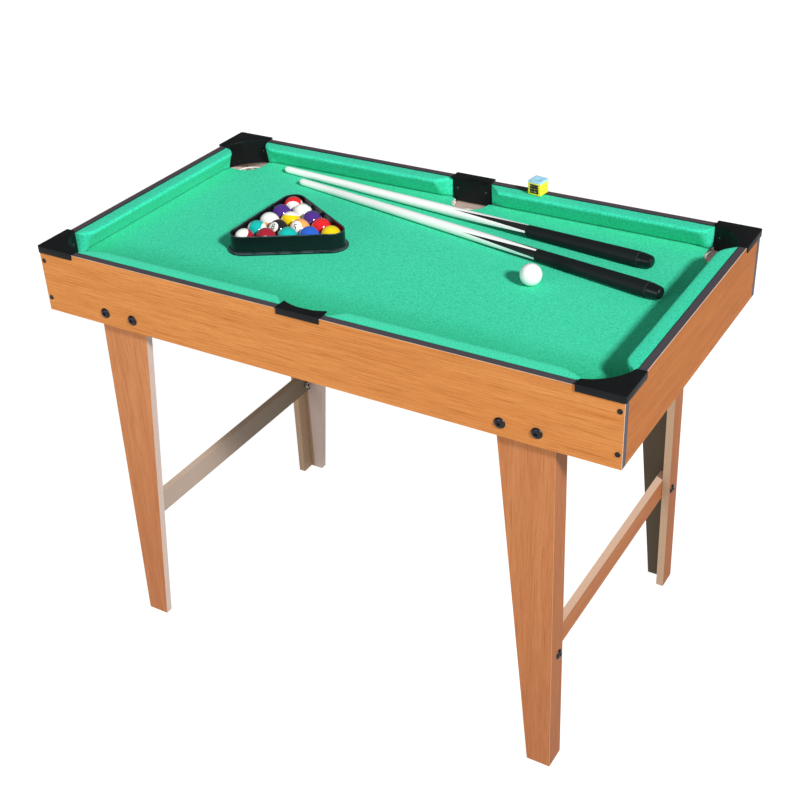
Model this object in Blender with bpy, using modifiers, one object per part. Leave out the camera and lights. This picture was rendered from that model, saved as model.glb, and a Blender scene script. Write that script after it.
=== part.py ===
"""Mini pool table with its play set, as an assembly of separate pieces.

Metres, +Z up.  The table's length runs along X and its width along Y, the front is -Y, and the
origin is on the floor under the middle of the table.  Each piece is one object; pieces that
touch keep a gap of 0.3 mm.
"""

from math import acos, asin, cos, pi, radians, sin, sqrt

import bmesh
import bpy
from mathutils import Matrix, Vector

# Driving dimensions
LENGTH = 0.914          # long aprons, end to end
WIDTH = 0.500           # across the outer faces of the long aprons
RIM = 0.658             # floor to the aprons' top edge
APRON_HEIGHT = 0.1015
PANEL = 0.012           # thickness of every board
BED_DEPTH = 0.034       # rim down to the playing surface
CLOTH = 0.001
GAP = 0.0003            # between neighbouring pieces

# Pockets
NOTCH = 0.055           # corner notch in the bed, along each side
NOTCH_CENTRE = 0.024    # centre of the notch's round corner, from each side
SIDE_NOTCH = 0.030      # radius of the side notch
SIDE_NOTCH_CENTRE = 0.006
LINER_SLOT = (0.0345, 0.0035)
CAP_SPAN = 0.051        # corner cap's reach past the inner corner, along each side
CAP_SAGITTA = 0.0096    # depth of the corner cap's concave edge
SIDE_CAP = 0.034        # half the side cap's length
SIDE_CAP_OVERHANG = 0.0074
SIDE_CAP_SAGITTA = 0.0079
CAP_WALL = 0.002        # thickness of the caps' skirts and liners
CAP_TOP = 0.003         # the caps' top above the rim
CAP_SKIRT = 0.007       # the skirt's reach below the rim
LINER_DEPTH = 0.038     # the liners' reach below the rim
NET_CENTRE = 0.030      # a corner net's axis, from each inner face
NET_RADIUS = 0.028
SIDE_NET_CENTRE = 0.024
SIDE_NET_RADIUS = 0.023
NET_DEPTH = 0.048

# Cushions: how far each profile point stands in from the apron, and how far below the rim
CUSHION_TOP = 0.001
CUSHION_PROFILE = ((GAP, CUSHION_TOP), (0.0210, CUSHION_TOP), (0.0230, 0.0032), (0.0227, 0.0060),
                   (0.0035, BED_DEPTH - GAP), (GAP, BED_DEPTH - GAP))
CUSHION_NOSE = 0.023
CUSHION_CLEARANCE = 0.0005

# Legs
LEG_INSET = 0.0910      # leg's outer corner from the apron's end
LEG_WIDTH_TOP = 0.0867
LEG_WIDTH_FOOT = 0.036
LEG_SPLAY = 0.006       # how far the foot stands out from the apron's bottom edge
STRETCHER_HEIGHT = 0.036
STRETCHER_CENTRE = 0.200

# Fasteners
BOLT_RADIUS = 0.003
BOLT_HEAD = 0.008
BOLT_LENGTH = 0.0315
BOLT_HOLE = 0.0034
BOLTS_X = {"outer": 0.3457, "inner": 0.2950}
BOLTS_DROP = 0.082

# Play set
BALL = 0.016            # ball radius
BALL_PITCH = 0.0323
BALL_ROWS = ((11,), (12, 10), (13, 9, 4), (14, 8, 5, 3), (15, 7, 6, 2, 1))
RACK_CENTRE = Vector((-0.1675, -0.0320))    # middle of the front row
RACK_ANGLE = radians(30)
RACK_HEIGHT = 0.028
RACK_WALL = (0.0180, 0.0204)    # the wall's faces, from the line through the outer balls' centres
RACK_CORNER = (0.0030, 0.0020)  # how far the centre of each face's corner lies past the corner ball's
RACK_FLANGE = (0.0260, 0.003)   # the same reach for the flange, and its thickness
BALL_COLOURS = ((0.90, 0.62, 0.02), (0.03, 0.12, 0.60), (0.75, 0.03, 0.03), (0.10, 0.03, 0.30),
                (0.90, 0.30, 0.03), (0.0, 0.42, 0.33), (0.35, 0.02, 0.04))
CUE_BALL_AT = (0.2087, 0.0160)
CUE_LENGTH = 0.684
CUE_JOINT = 0.205       # from the butt end
CUE_BUMPER = 0.020
CUE_TIP = 0.012         # length of the rounded tip
CUE_RADII = (0.0057, 0.0090, 0.0113)    # tip, joint, butt
CUES = {"cue_1": ((0.3420, 0.1320), radians(173.7)), "cue_2": ((0.3870, 0.0495), radians(169.5))}
CHALK = 0.0225
CHALK_AT = (0.1140, 0.2372)
CHALK_ANGLE = radians(-8)

# Places worked out from the sizes above
INNER_X = LENGTH / 2 - PANEL
INNER_Y = WIDTH / 2 - PANEL
APRON_BOTTOM = RIM - APRON_HEIGHT
BED = RIM - BED_DEPTH
BOARD_TOP = BED - CLOTH - GAP
BOARD_BOTTOM = BOARD_TOP - PANEL
UNDER_BOARD = BOARD_BOTTOM - GAP
SPLAY = LEG_SPLAY / APRON_BOTTOM
SIGNS = (-1, 1)
ENDS = {-1: "left", 1: "right"}
SIDES = {-1: "front", 1: "rear"}


# Scene and materials

def clear_scene():
    for old in list(bpy.data.objects):
        bpy.data.objects.remove(old, do_unlink=True)


def collection(name):
    made = bpy.data.collections.new(name)
    bpy.context.scene.collection.children.link(made)
    return made


def material(name, colour, roughness, metallic=0.0):
    made = bpy.data.materials.new(name)
    made.use_nodes = True
    shader = made.node_tree.nodes["Principled BSDF"]
    shader.inputs["Base Color"].default_value = (*colour, 1)
    shader.inputs["Roughness"].default_value = roughness
    shader.inputs["Metallic"].default_value = metallic
    made.diffuse_color = (*colour, 1)
    return made


def add(name, mesh, look):
    """A piece of the model, from its finished mesh."""
    made = bpy.data.objects.new(name, mesh)
    mesh.materials.clear()
    mesh.materials.append(look)
    parts.objects.link(made)
    return made


def add_cutter(name, mesh):
    made = bpy.data.objects.new(name, mesh)
    made.hide_render = True
    made.display_type = "WIRE"
    cutters.objects.link(made)
    return made


# Meshes

def finished(bm, name):
    bmesh.ops.recalc_face_normals(bm, faces=bm.faces)
    mesh = bpy.data.meshes.new(name)
    bm.to_mesh(mesh)
    bm.free()
    return mesh


def evaluated_mesh(piece):
    """The mesh of an object with its modifiers, and the object removed."""
    graph = bpy.context.evaluated_depsgraph_get()
    mesh = bpy.data.meshes.new_from_object(piece.evaluated_get(graph))
    bpy.data.objects.remove(piece, do_unlink=True)
    return mesh


def box_mesh(low, high):
    bm = bmesh.new()
    bmesh.ops.create_cube(bm, size=1)
    size = [b - a for a, b in zip(low, high)]
    centre = [(a + b) / 2 for a, b in zip(low, high)]
    bmesh.ops.transform(bm, matrix=Matrix.LocRotScale(centre, None, size), verts=bm.verts)
    return finished(bm, "box")


def slab_mesh(outline, bottom, top):
    """A flat outline in XY, filled and extruded from bottom to top."""
    curve = bpy.data.curves.new("outline", "CURVE")
    curve.dimensions = "2D"
    curve.fill_mode = "BOTH"
    curve.extrude = (top - bottom) / 2
    spline = curve.splines.new("POLY")
    spline.points.add(len(outline) - 1)
    for point, (x, y) in zip(spline.points, outline):
        point.co = (x, y, 0, 1)
    spline.use_cyclic_u = True
    guide = bpy.data.objects.new("outline", curve)
    cutters.objects.link(guide)
    bm = bmesh.new()
    bm.from_mesh(evaluated_mesh(guide))
    bmesh.ops.remove_doubles(bm, verts=bm.verts, dist=1e-5)
    bmesh.ops.translate(bm, verts=bm.verts, vec=(0, 0, (top + bottom) / 2))
    return finished(bm, "slab")


def turned_mesh(profile, steps):
    """A profile of (radius, height) points, from top to bottom, turned round Z."""
    line = bpy.data.meshes.new("profile")
    points = [(radius, 0, height) for radius, height in profile]
    line.from_pydata(points, [(i, i + 1) for i in range(len(points) - 1)], [])
    piece = bpy.data.objects.new("turned", line)
    cutters.objects.link(piece)
    screw = piece.modifiers.new("turn", "SCREW")
    screw.steps = screw.render_steps = steps
    screw.use_merge_vertices = True
    screw.merge_threshold = 0.00005
    mesh = evaluated_mesh(piece)
    mesh.shade_smooth()
    mesh.set_sharp_from_angle(angle=radians(35))
    return mesh


def copies_mesh(mesh, places):
    """One mesh that holds a copy of mesh at each place."""
    bm = bmesh.new()
    for place in places:
        copy = mesh.copy()
        copy.transform(place)
        bm.from_mesh(copy)
    joined = bpy.data.meshes.new("copies")
    bm.to_mesh(joined)
    bm.free()
    return joined


def boolean(piece, cutter, operation="DIFFERENCE"):
    step = piece.modifiers.new(operation.lower(), "BOOLEAN")
    step.operation = operation
    step.object = cutter


def arc(centre, radius, start, end, steps):
    """Points on an arc, both ends included."""
    angles = [start + (end - start) * i / steps for i in range(steps + 1)]
    return [(centre[0] + radius * cos(a), centre[1] + radius * sin(a)) for a in angles]


def mirrored(outline, sign_x, sign_y):
    return [(sign_x * x, sign_y * y) for x, y in outline]


def facing(point, direction):
    """A placement whose +Z points along direction."""
    turn = Vector(direction).to_track_quat("Z", "Y").to_matrix().to_4x4()
    return Matrix.Translation(point) @ turn


def drill(name, holes, radius, depth):
    """A cutter: round holes, each centred on its point and running along its direction."""
    bm = bmesh.new()
    bmesh.ops.create_cone(bm, segments=10, radius1=radius, radius2=radius, depth=depth,
                          cap_ends=True)
    hole = finished(bm, "hole")
    return add_cutter(name, copies_mesh(hole, [facing(*at) for at in holes]))


# Frame

def make_aprons():
    for side, name in SIDES.items():
        near, far = sorted((side * INNER_Y, side * WIDTH / 2))
        low = (-LENGTH / 2, near, APRON_BOTTOM)
        apron = add(f"apron_{name}", box_mesh(low, (LENGTH / 2, far, RIM)), beech)
        boolean(apron, bolt_holes)
    for end, name in ENDS.items():
        near, far = sorted((end * INNER_X, end * LENGTH / 2))
        low = (near, -INNER_Y + GAP, APRON_BOTTOM)
        add(f"apron_{name}", box_mesh(low, (far, INNER_Y - GAP, RIM)), beech)


def bed_outline():
    """The bed's outline: a corner notch and half a side notch, mirrored round the four sides."""
    edge_x = INNER_X - GAP
    edge_y = INNER_Y - GAP
    slot_x, slot_y = LINER_SLOT
    corner = (edge_x - NOTCH_CENTRE, edge_y - NOTCH_CENTRE)
    quarter = [(edge_x, edge_y - NOTCH)]
    quarter += arc(corner, NOTCH - NOTCH_CENTRE, -pi / 2, -pi, 7)
    quarter += [(edge_x - NOTCH, edge_y), (slot_x, edge_y), (slot_x, edge_y - slot_y)]
    quarter += [(SIDE_NOTCH, edge_y - slot_y)]
    quarter += arc((0, edge_y - SIDE_NOTCH_CENTRE), SIDE_NOTCH, 0, -pi / 2, 6)
    rear = quarter + mirrored(quarter, -1, 1)[-2::-1]
    return rear + mirrored(rear, -1, -1)


def make_bed():
    outline = bed_outline()
    add("playfield_board", slab_mesh(outline, BOARD_BOTTOM, BOARD_TOP), raw_board)
    add("bed_cloth", slab_mesh(outline, BED - CLOTH, BED), felt)


def cushion(name, half_length, plan, place):
    """A wedge profile along X, its ends cut to the plan, then put in its place."""
    profile = [(inset, -drop) for inset, drop in CUSHION_PROFILE]
    mesh = slab_mesh(profile, -half_length, half_length)
    mesh.transform(Matrix(((0, 0, 1, 0), (-1, 0, 0, 0), (0, 1, 0, RIM), (0, 0, 0, 1))))
    mesh.transform(place)
    piece = add(name, mesh, felt)
    ends = slab_mesh(plan, RIM - 0.05, RIM + 0.01)
    ends.transform(place)
    boolean(piece, add_cutter(f"{name}_plan", ends), "INTERSECT")


def cushion_plan(start, stop):
    """Ends at 45 degrees from the apron to the nose; the apron's inner face is at Y = 0."""
    nose = CUSHION_NOSE
    return [(start, 0.001), (stop, 0.001), (stop, 0), (stop - nose, -nose), (stop - nose, -0.03),
            (start + nose, -0.03), (start + nose, -nose), (start, 0)]


def make_cushions():
    corner = INNER_X - CAP_SPAN - CUSHION_CLEARANCE
    middle = SIDE_CAP + CUSHION_CLEARANCE
    for side, side_name in SIDES.items():
        turn = Matrix.Rotation(0 if side > 0 else pi, 4, "Z")
        place = Matrix.Translation((0, side * INNER_Y, 0)) @ turn
        for end, end_name in ENDS.items():
            start, stop = sorted((end * side * middle, end * side * corner))
            cushion(f"cushion_{side_name}_{end_name}", INNER_X, cushion_plan(start, stop), place)
    reach = INNER_Y - CAP_SPAN - CUSHION_CLEARANCE
    for end, end_name in ENDS.items():
        turn = Matrix.Rotation(-end * pi / 2, 4, "Z")
        place = Matrix.Translation((end * INNER_X, 0, 0)) @ turn
        cushion(f"cushion_{end_name}_end", INNER_Y, cushion_plan(-reach, reach), place)


# Pockets

def cap_from(name, meshes):
    """A moulded cap: its first mesh with the others joined to it."""
    cap = add(name, meshes[0], black_plastic)
    for index, mesh in enumerate(meshes[1:]):
        boolean(cap, add_cutter(f"{name}_{index}", mesh), "UNION")


def corner_cap(end, side):
    """The top plate, the skirt round the aprons' corner, and the curved liner."""
    outer_x = LENGTH / 2 + CAP_WALL
    outer_y = WIDTH / 2 + CAP_WALL
    end_x = INNER_X - CAP_SPAN
    end_y = INNER_Y - CAP_SPAN
    chord = CAP_SPAN * sqrt(2)
    radius = (chord ** 2 / 4 + CAP_SAGITTA ** 2) / (2 * CAP_SAGITTA)
    inset = CAP_SPAN / 2 + (radius - CAP_SAGITTA) / sqrt(2)
    centre = (INNER_X - inset, INNER_Y - inset)
    corner = arc((outer_x - 0.004, outer_y - 0.004), 0.004, 0, pi / 2, 3)
    edge = arc(centre, radius, asin(inset / radius), acos(inset / radius), 10)
    plate = [(end_x, outer_y)] + edge + [(outer_x, end_y)] + corner
    skirt_x = LENGTH / 2 + GAP
    skirt_y = WIDTH / 2 + GAP
    skirt = [(end_x, outer_y), (end_x, skirt_y), (skirt_x, skirt_y), (skirt_x, end_y),
             (outer_x, end_y)] + corner
    face = inset - GAP
    back = radius + CAP_WALL
    liner = arc(centre, radius, asin(face / radius), acos(face / radius), 10)
    liner += arc(centre, back, acos(face / back), asin(face / back), 10)
    overlap = RIM + CAP_TOP / 2
    levels = ((plate, RIM + GAP, RIM + CAP_TOP), (skirt, RIM - CAP_SKIRT, overlap),
              (liner, RIM - LINER_DEPTH, overlap))
    meshes = [slab_mesh(mirrored(line, end, side), low, high) for line, low, high in levels]
    cap_from(f"corner_cap_{SIDES[side]}_{ENDS[end]}", meshes)


def side_cap(side):
    inner = INNER_Y - SIDE_CAP_OVERHANG
    outer = WIDTH / 2 + CAP_WALL
    radius = (SIDE_CAP ** 2 + SIDE_CAP_SAGITTA ** 2) / (2 * SIDE_CAP_SAGITTA)
    spread = asin(SIDE_CAP / radius)
    centre = (0, inner + SIDE_CAP_SAGITTA - radius)
    plate = [(-SIDE_CAP, outer)] + arc(centre, radius, pi / 2 + spread, pi / 2 - spread, 8)
    plate += [(SIDE_CAP, outer)]
    meshes = [slab_mesh(mirrored(plate, 1, side), RIM + GAP, RIM + CAP_TOP)]
    overlap = RIM + CAP_TOP / 2
    walls = ((SIDE_CAP, WIDTH / 2 + GAP, outer, RIM - CAP_SKIRT),
             (SIDE_CAP - CUSHION_CLEARANCE, INNER_Y - GAP - CAP_WALL, INNER_Y - GAP,
              RIM - LINER_DEPTH))
    for half, near, far, bottom in walls:
        low_y, high_y = sorted((side * near, side * far))
        meshes.append(box_mesh((-half, low_y, bottom), (half, high_y, overlap)))
    cap_from(f"side_cap_{SIDES[side]}", meshes)


def net_mesh(radius):
    """A bag open at the top, of thin wall, that narrows to a rounded bottom."""
    wall = 0.0012
    outer = [(1.00, 0.0), (0.97, 0.35), (0.90, 0.75), (0.70, 0.96), (0.35, 1.0)]
    inside = [((radius * r) - wall, -NET_DEPTH * d + (wall if r < 1 else 0)) for r, d in outer]
    outside = [(radius * r, -NET_DEPTH * d) for r, d in outer]
    profile = [(0, -NET_DEPTH + wall)] + inside[::-1] + outside + [(0, -NET_DEPTH)]
    return turned_mesh(profile, 12)


def make_pockets():
    corner_net = net_mesh(NET_RADIUS)
    side_net = net_mesh(SIDE_NET_RADIUS)
    for side, side_name in SIDES.items():
        side_cap(side)
        net = add(f"pocket_net_{side_name}_middle", side_net, cord)
        net.location = (0, side * (INNER_Y - SIDE_NET_CENTRE), UNDER_BOARD)
        for end, end_name in ENDS.items():
            corner_cap(end, side)
            net = add(f"pocket_net_{side_name}_{end_name}", corner_net, cord)
            net.location = (end * (INNER_X - NET_CENTRE), side * (INNER_Y - NET_CENTRE), UNDER_BOARD)


# Legs and stretchers

def leg_mesh(end, side):
    """An angle of two boards, whose wide board narrows to the foot, leaning outwards."""
    wide = LEG_WIDTH_TOP
    narrow = LEG_WIDTH_FOOT
    angle = [(0, 0), (wide, 0), (wide, PANEL), (PANEL, PANEL), (PANEL, narrow), (0, narrow)]
    mesh = slab_mesh(angle, 0, UNDER_BOARD)
    bm = bmesh.new()
    bm.from_mesh(mesh)
    for vert in bm.verts:
        inset_x, inset_y, height = vert.co
        if height < UNDER_BOARD / 2:
            inset_x = min(inset_x, narrow)
        lean = SPLAY * (APRON_BOTTOM - height)
        vert.co.x = end * (LENGTH / 2 - LEG_INSET - inset_x + lean)
        vert.co.y = side * (INNER_Y - GAP - inset_y + lean)
    return finished(bm, "leg")


def make_legs():
    for side, side_name in SIDES.items():
        for end, end_name in ENDS.items():
            leg = add(f"leg_{side_name}_{end_name}", leg_mesh(end, side), reddish_beech)
            boolean(leg, bolt_holes)


def make_stretchers():
    """Each fits between the two legs' narrow boards, which lean outwards."""
    half = STRETCHER_HEIGHT / 2
    low = STRETCHER_CENTRE - half
    high = STRETCHER_CENTRE + half
    outer = LENGTH / 2 - LEG_INSET - PANEL + SPLAY * (APRON_BOTTOM - high) - GAP
    reach = INNER_Y - PANEL + SPLAY * (APRON_BOTTOM - high) - 2 * GAP
    for end, name in ENDS.items():
        near, far = sorted((end * outer, end * (outer - PANEL)))
        mesh = box_mesh((near, -reach, low), (far, reach, high))
        add(f"stretcher_{name}", mesh, reddish_beech)


# Fasteners

def bolt_mesh():
    """A domed head with a hexagon socket, on a plain shank below it."""
    head = [(0, 0.0032), (0.0035, 0.0031), (0.0062, 0.0023), (0.0076, 0.0010), (BOLT_HEAD, 0)]
    shank = [(BOLT_RADIUS, 0), (BOLT_RADIUS, -BOLT_LENGTH), (0, -BOLT_LENGTH)]
    bolt = add_cutter("bolt", turned_mesh(head + shank, 12))
    bm = bmesh.new()
    bmesh.ops.create_cone(bm, segments=6, radius1=0.0023, radius2=0.0023, depth=0.0040,
                          cap_ends=True)
    bmesh.ops.translate(bm, verts=bm.verts, vec=(0, 0, 0.0036))
    socket = add_cutter("bolt_socket", finished(bm, "socket"))
    boolean(bolt, socket)
    return evaluated_mesh(bolt)


def make_bolts():
    mesh = bolt_mesh()
    for (end, side, row), (point, way) in bolt_places.items():
        bolt = add(f"leg_bolt_{SIDES[side]}_{ENDS[end]}_{row}", mesh, black_metal)
        bolt.matrix_world = facing(Vector(point) + GAP * Vector(way), way)


# Play set

def make_cue(name, butt, heading):
    """A cue that lies on the bed on its butt and its tip; +Z runs from the butt to the tip."""
    tip, joint, thick = CUE_RADII
    shaft = [(0, CUE_LENGTH), (0.0036, CUE_LENGTH - 0.0003), (0.0052, CUE_LENGTH - 0.0025),
             (tip, CUE_LENGTH - CUE_TIP), (joint, CUE_JOINT + GAP), (0, CUE_JOINT + GAP)]
    butt_end = [(0, CUE_JOINT), (joint, CUE_JOINT), (thick, CUE_BUMPER + 0.0005),
                (0.0107, CUE_BUMPER), (0.0107, 0.0145), (0.0092, 0.0040), (0.0072, 0), (0, 0)]
    rise = (tip - thick) / (CUE_LENGTH - CUE_TIP - CUE_BUMPER)
    level = sqrt(1 - rise ** 2)
    along = Vector((level * cos(heading), level * sin(heading), rise))
    start = BED + GAP + thick / level - CUE_BUMPER * rise
    place = facing((*butt, start), along)
    for part, profile, look in (("shaft", shaft, white_gloss), ("butt", butt_end, black_grip)):
        piece = add(f"{name}_{part}", turned_mesh(profile, 14), look)
        piece.matrix_world = place


def rack_outline(reach, shift=0.0):
    """A round-cornered triangle round the balls; the front row's middle is at 0, 0."""
    half = 2 * BALL_PITCH
    outline = []
    for index, corner in enumerate(((half, 0), (0, half * sqrt(3)), (-half, 0))):
        start = -pi / 2 + index * 2 * pi / 3
        way = start + pi / 3
        centre = (corner[0] + shift * cos(way), corner[1] + shift * sin(way))
        outline += arc(centre, reach - shift / 2, start, start + 2 * pi / 3, 6)
    return outline


def make_rack():
    inner, outer = [rack_outline(*face) for face in zip(RACK_WALL, RACK_CORNER)]
    flange, thickness = RACK_FLANGE
    rack = add("triangle_rack", slab_mesh(outer, 0, RACK_HEIGHT), black_gloss)
    base = add_cutter("rack_flange", slab_mesh(rack_outline(flange), 0, thickness))
    boolean(rack, base, "UNION")
    well = slab_mesh(inner, -0.01, RACK_HEIGHT + 0.01)
    well = add_cutter("rack_well", well)
    boolean(rack, well)
    for piece in (rack, base, well):
        piece.location = (*RACK_CENTRE, BED + GAP)
        piece.rotation_euler.z = RACK_ANGLE


def ball_mesh():
    bm = bmesh.new()
    bmesh.ops.create_uvsphere(bm, u_segments=16, v_segments=8, radius=BALL)
    mesh = finished(bm, "ball")
    mesh.shade_smooth()
    return mesh


def make_balls():
    mesh = ball_mesh()
    height = BED + GAP + BALL
    last = len(BALL_ROWS) - 1
    turn = Matrix.Rotation(RACK_ANGLE, 2)
    for row, numbers in enumerate(BALL_ROWS):
        towards_apex = (last - row) * BALL_PITCH * sqrt(3) / 2
        for place, number in enumerate(numbers):
            across = (place - row / 2) * BALL_PITCH
            ball = add(f"ball_{number:02d}", mesh.copy(), ball_looks[number])
            ball.location = (*(RACK_CENTRE + turn @ Vector((across, towards_apex))), height)
    cue_ball = add("cue_ball", mesh, white_gloss)
    cue_ball.location = (*CUE_BALL_AT, height)


def make_chalk():
    half = CHALK / 2
    chalk = add("chalk_cube", box_mesh((-half, -half, 0), (half, half, CHALK)), chalk_blue)
    bm = bmesh.new()
    bmesh.ops.create_uvsphere(bm, u_segments=12, v_segments=8, radius=0.016)
    bmesh.ops.translate(bm, verts=bm.verts, vec=(0, 0, CHALK + 0.0138))
    hollow = add_cutter("chalk_hollow", finished(bm, "hollow"))
    boolean(chalk, hollow)
    for piece in (chalk, hollow):
        piece.location = (*CHALK_AT, RIM + GAP)
        piece.rotation_euler.z = CHALK_ANGLE


clear_scene()
parts = collection("mini_pool_table")
cutters = collection("cutters")

beech = material("beech_laminate", (0.70, 0.32, 0.10), 0.45)
reddish_beech = material("reddish_beech_laminate", (0.55, 0.24, 0.10), 0.5)
raw_board = material("raw_board", (0.42, 0.31, 0.25), 0.9)
felt = material("green_felt", (0.04, 0.62, 0.32), 0.95)
black_plastic = material("black_plastic", (0.012, 0.012, 0.013), 0.45)
black_metal = material("black_metal", (0.02, 0.02, 0.02), 0.35, 0.6)
cord = material("white_cord", (0.8, 0.8, 0.78), 0.9)
white_gloss = material("white_gloss", (0.85, 0.85, 0.83), 0.15)
black_grip = material("black_grip", (0.012, 0.012, 0.014), 0.6)
black_gloss = material("black_gloss", (0.006, 0.006, 0.007), 0.15)
chalk_blue = material("chalk_blue", (0.25, 0.55, 0.80), 0.95)
ball_looks = {8: material("ball_8", (0.01, 0.01, 0.01), 0.12)}
for colour_index, ball_colour in enumerate(BALL_COLOURS):
    for ball_number in (colour_index + 1, colour_index + 9):
        ball_looks[ball_number] = material(f"ball_{ball_number}", ball_colour, 0.12)

bolt_places = {(end, side, row): ((end * x, side * WIDTH / 2, RIM - BOLTS_DROP), (0, side, 0))
               for end in SIGNS for side in SIGNS for row, x in BOLTS_X.items()}
bolt_holes = drill("bolt_holes", bolt_places.values(), BOLT_HOLE, 5 * PANEL)

make_aprons()
make_bed()
make_cushions()
make_pockets()
make_legs()
make_stretchers()
make_bolts()
for cue_name, (butt_at, cue_heading) in CUES.items():
    make_cue(cue_name, butt_at, cue_heading)
make_rack()
make_balls()
make_chalk()
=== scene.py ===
"""Looks for the mini pool table: camera, studio, materials and the finely shaped pieces.

Metres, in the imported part's own frame: +X along the table, -Y to its front, +Z up.
"""

from math import atan2, cos, pi, radians, sin, sqrt

import bmesh
import bpy
from mathutils import Euler, Matrix, Vector


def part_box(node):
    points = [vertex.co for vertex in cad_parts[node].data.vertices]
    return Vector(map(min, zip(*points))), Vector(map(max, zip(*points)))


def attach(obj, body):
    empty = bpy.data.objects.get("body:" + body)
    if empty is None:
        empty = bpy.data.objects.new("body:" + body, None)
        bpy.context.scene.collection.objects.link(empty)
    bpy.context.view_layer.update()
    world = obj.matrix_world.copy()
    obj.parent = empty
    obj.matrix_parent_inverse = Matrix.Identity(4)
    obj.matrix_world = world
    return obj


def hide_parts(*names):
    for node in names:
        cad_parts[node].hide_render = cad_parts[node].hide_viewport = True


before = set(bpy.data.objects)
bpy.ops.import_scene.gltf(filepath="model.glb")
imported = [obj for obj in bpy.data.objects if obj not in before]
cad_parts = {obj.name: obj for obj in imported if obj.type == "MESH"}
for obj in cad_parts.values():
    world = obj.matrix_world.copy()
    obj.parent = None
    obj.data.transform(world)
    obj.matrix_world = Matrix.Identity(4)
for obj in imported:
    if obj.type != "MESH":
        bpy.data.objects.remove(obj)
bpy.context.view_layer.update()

# The clearance that the CAD leaves between neighbours
GAP = 0.0003
SIGNS = (-1, 1)
ENDS = {-1: "left", 1: "right"}
SIDES = {-1: "front", 1: "rear"}


def middle(low, high):
    return (Vector(low) + Vector(high)) / 2


# Sizes read from the frame
front_low, front_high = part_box("apron_front")
LENGTH = front_high[0] - front_low[0]
RIM = front_high[2]
APRON_BOTTOM = front_low[2]
PANEL = front_high[1] - front_low[1]
WIDTH = -2 * front_low[1]
INNER_X = LENGTH / 2 - PANEL
INNER_Y = WIDTH / 2 - PANEL
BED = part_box("bed_cloth")[1][2]
LEG_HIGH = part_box("leg_rear_right")[1]
LEG_SPLAY = LEG_HIGH[1] - (INNER_Y - GAP)
SPLAY = LEG_SPLAY / APRON_BOTTOM
LEG_CORNER = LEG_HIGH[0] - LEG_SPLAY

# Pockets, measured in from the aprons' inner faces: the caps' reach along a rail, and the
# centres and radii of the notches in the bed
CORNER_CAP = 0.051
SIDE_CAP = 0.034
CORNER_INSET = 0.024
CORNER_NOTCH = 0.031
SIDE_INSET = 0.0063
SIDE_NOTCH = 0.030

CAMERA_AT = Vector((0.9087, -1.4606, 1.4684))
# The camera's right, up and back as columns, from its turns about X, Y and Z
CAMERA_AXES = Euler((radians(57.7495), radians(2.3336), radians(30.5487))).to_matrix()


# Studio

def area_light(name, place, target, size, power):
    lamp = bpy.data.lights.new(name, "AREA")
    lamp.shape = "RECTANGLE"
    lamp.size, lamp.size_y = size
    lamp.energy = power
    made = bpy.data.objects.new(name, lamp)
    way = Vector(target) - Vector(place)
    made.matrix_world = Matrix.Translation(place) @ way.to_track_quat("-Z", "Y").to_matrix().to_4x4()
    bpy.context.scene.collection.objects.link(made)


def make_studio():
    camera_data = bpy.data.cameras.new("camera")
    camera_data.lens = 58.97
    camera_data.sensor_width = 36
    camera = bpy.data.objects.new("camera", camera_data)
    camera.matrix_world = Matrix.Translation(CAMERA_AT) @ CAMERA_AXES.to_4x4()
    bpy.context.scene.collection.objects.link(camera)
    bpy.context.scene.camera = camera

    world = bpy.data.worlds.new("studio")
    world.use_nodes = True
    background = world.node_tree.nodes["Background"].inputs
    background["Color"].default_value = (1, 1, 1, 1)
    background["Strength"].default_value = 0.19
    bpy.context.scene.world = world
    bpy.context.scene.view_settings.view_transform = "Standard"

    centre = (0, 0, 0.6)
    area_light("key", (10.4, -5.0, 8.1), centre, (1.6, 1.6), 2320)
    area_light("front", (-0.90, -3.2, 1.45), centre, (1.6, 1.1), 36)
    area_light("low", (2.2, -2.4, 1.15), centre, (0.35, 0.35), 3)

    bm = bmesh.new()
    bmesh.ops.create_grid(bm, x_segments=1, y_segments=1, size=12)
    mesh = bpy.data.meshes.new("floor")
    bm.to_mesh(mesh)
    bm.free()
    floor = bpy.data.objects.new("floor", mesh)
    floor.location.z = -0.0005
    bpy.context.scene.collection.objects.link(floor)
    build = Nodes("floor_white", 0.9, Specular_IOR_Level=0.0, Emission_Strength=0.95)
    build.shader.inputs["Emission Color"].default_value = (1, 1, 1, 1)
    build.colour(build.mix(build.noise(build.object(), 3, 2), (0.19, 0.19, 0.19), (0.21, 0.21, 0.21)))
    mesh.materials.append(build.material)


# Materials

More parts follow.
